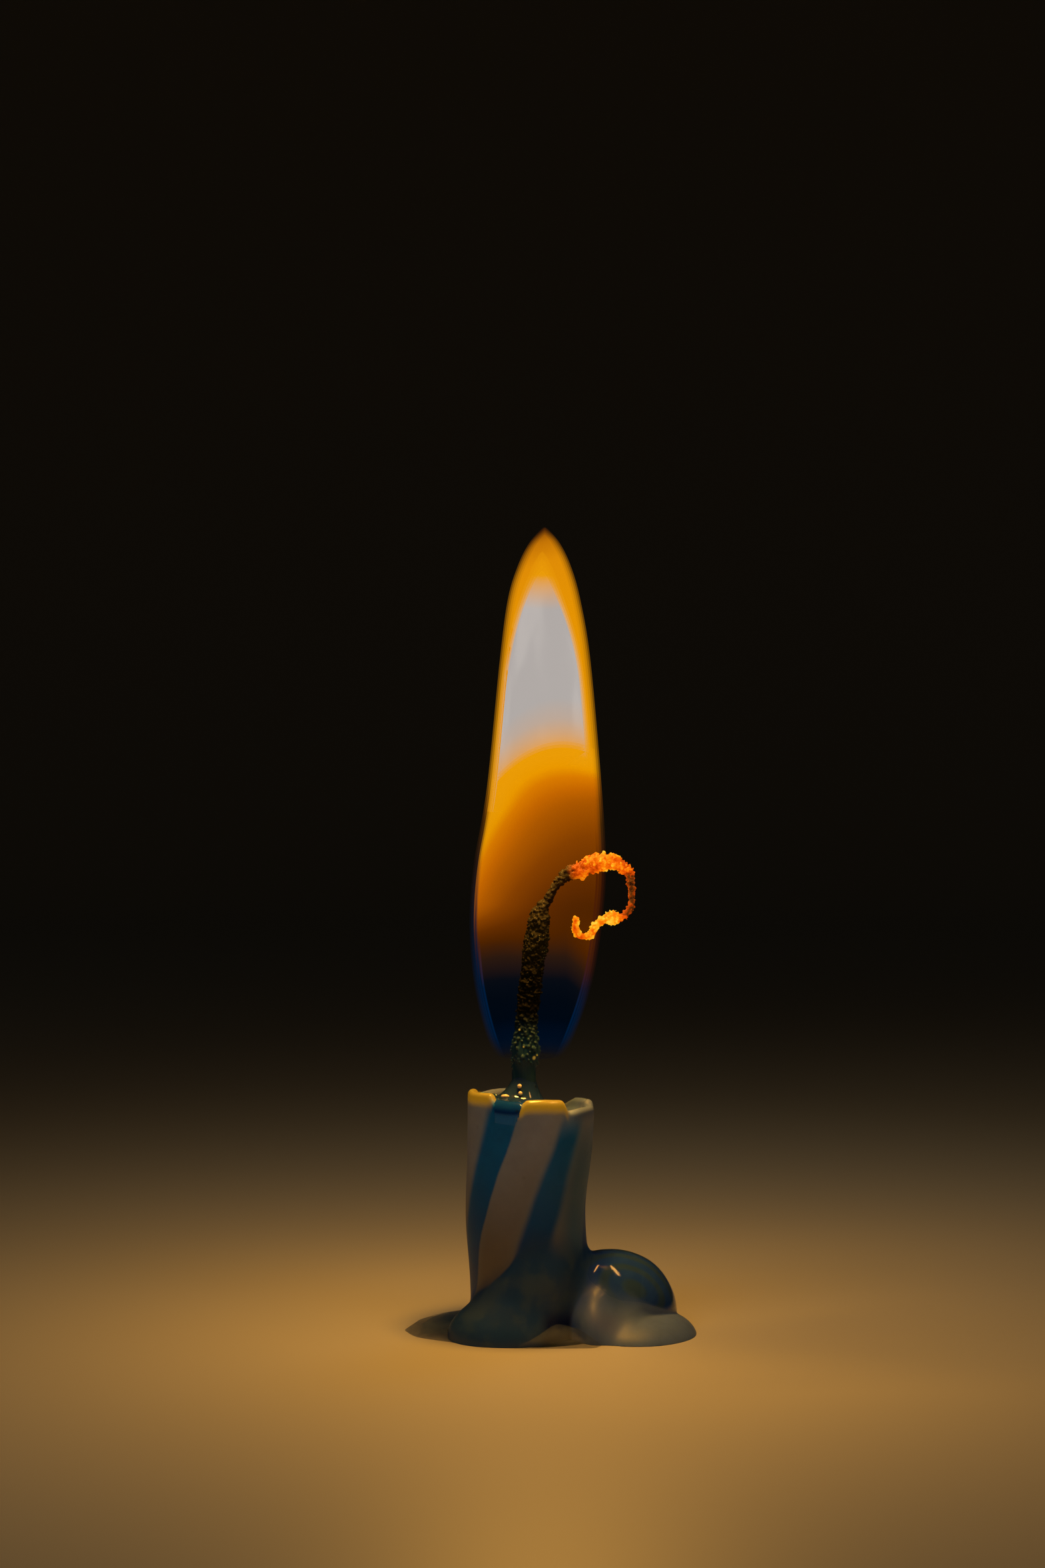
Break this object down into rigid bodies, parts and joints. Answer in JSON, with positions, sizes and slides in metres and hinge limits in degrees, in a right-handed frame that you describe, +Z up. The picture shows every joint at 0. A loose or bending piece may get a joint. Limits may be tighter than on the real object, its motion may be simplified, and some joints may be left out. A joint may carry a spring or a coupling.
{
  "type": "melted candle",
  "caption": "Short stub of a twisted striped candle, lit, with a tall flame, a curled glowing wick and a puddle of its own run wax that it stands in.",
  "frame": {"origin": "middle of the stub's flat foot, on the table top", "axes": "+Z up along the candle, +X towards the big round drip, -Y towards the front, where the melt breaks over the rim"},
  "size_m": [0.0138, 0.0085, 0.038],
  "materials": {
    "striped_wax": "satin",
    "run_wax": "satin",
    "molten_wax": "wet",
    "charred_cotton": "charred",
    "fire": "glowing"
  },
  "bodies": {
    "root": {"candle_stub": "striped_wax", "wax_spill": "run_wax", "melt_pool": "molten_wax", "wick": "charred_cotton", "flame": "fire"}
  },
  "joints": []
}
